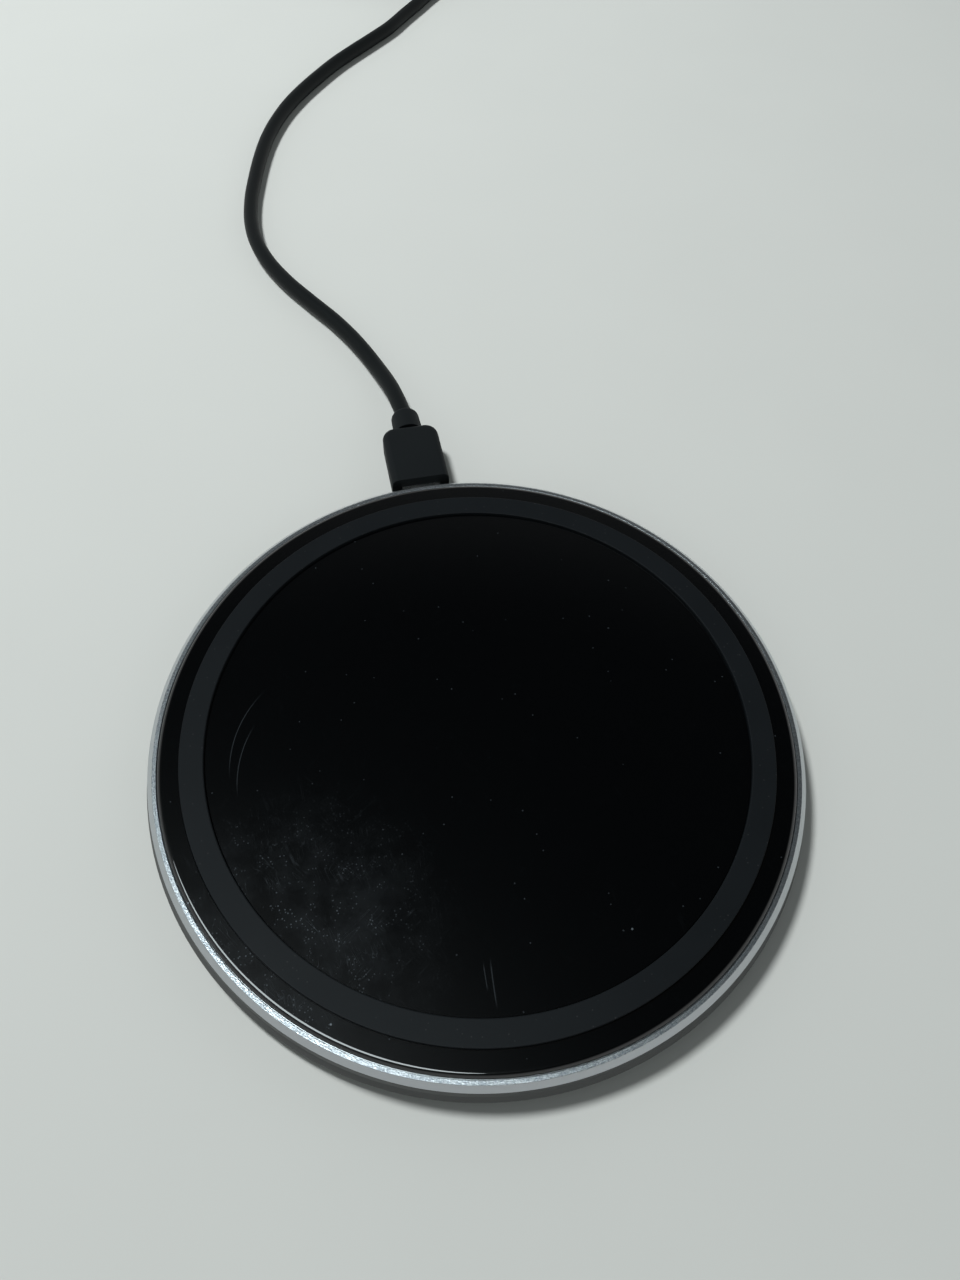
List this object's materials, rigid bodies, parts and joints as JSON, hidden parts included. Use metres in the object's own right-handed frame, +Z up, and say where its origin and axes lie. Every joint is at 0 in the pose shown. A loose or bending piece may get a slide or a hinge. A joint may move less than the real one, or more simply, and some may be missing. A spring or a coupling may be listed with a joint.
{
  "type": "wireless charging pad",
  "caption": "Slim round wireless charging pad with a glossy top, raised grip ring, metal rim and a plug-in supply lead with its spare cord coiled.",
  "frame": {"origin": "on the table under the middle of the pad", "axes": "+Z up, +Y to the rear where the lead plugs in, +X to the right"},
  "size_m": [0.1049, 0.3554, 0.0083],
  "materials": {
    "gloss_top": "polished black",
    "grip_rubber": "matte charcoal",
    "ring_metal": "blasted rim, satin slope",
    "base_plastic": "fine satin dark grey",
    "foot_rubber": "matte",
    "screw_steel": "zinc plated",
    "adhesive": "film",
    "foam": "open foam",
    "carrier_plastic": "moulded",
    "ferrite": "dark sintered",
    "copper_wire": "stranded and varnished",
    "board": "solder mask",
    "chip_black": "moulded",
    "ceramic": "ceramic",
    "connector_metal": "nickel plated",
    "connector_black": "moulded",
    "connector_white": "moulded",
    "contact_gold": "gold plated",
    "plug_black": "soft moulded",
    "cord_black": "smooth jacket",
    "tie_black": "woven strap"
  },
  "bodies": {
    "pad": {"bottom_cover": "base_plastic", "foot_ring": "foot_rubber", "cover_screws": "screw_steel", "frame_ring": "ring_metal", "adhesive_ring": "adhesive", "top_plate": "gloss_top", "grip_ring": "grip_rubber", "foam_pad": "foam", "coil_carrier": "carrier_plastic", "ferrite_sheet": "ferrite", "coil_winding": "copper_wire", "circuit_board": "board", "controller_chip": "chip_black", "bridge_transistors": "chip_black", "resonant_capacitors": "ceramic", "filter_capacitors": "ceramic", "socket_shell": "connector_metal", "socket_tongue": "connector_black", "socket_contacts": "contact_gold"},
    "lead": {"plug_shell": "connector_metal", "plug_core": "connector_black", "plug_contacts": "contact_gold", "plug_grip": "plug_black", "plug_relief": "plug_black", "cord_run": "cord_black", "cord_coil": "cord_black", "cord_tie": "tie_black", "cord_tail": "cord_black", "usb_relief": "plug_black", "usb_grip": "plug_black", "usb_shell": "connector_metal", "usb_core": "connector_white", "usb_contacts": "contact_gold"}
  },
  "joints": [
    {"name": "plug_pull", "type": "slide", "parent": "pad", "child": "lead", "axis": [0, 1, 0], "range_m": [0, 0.012]}
  ]
}
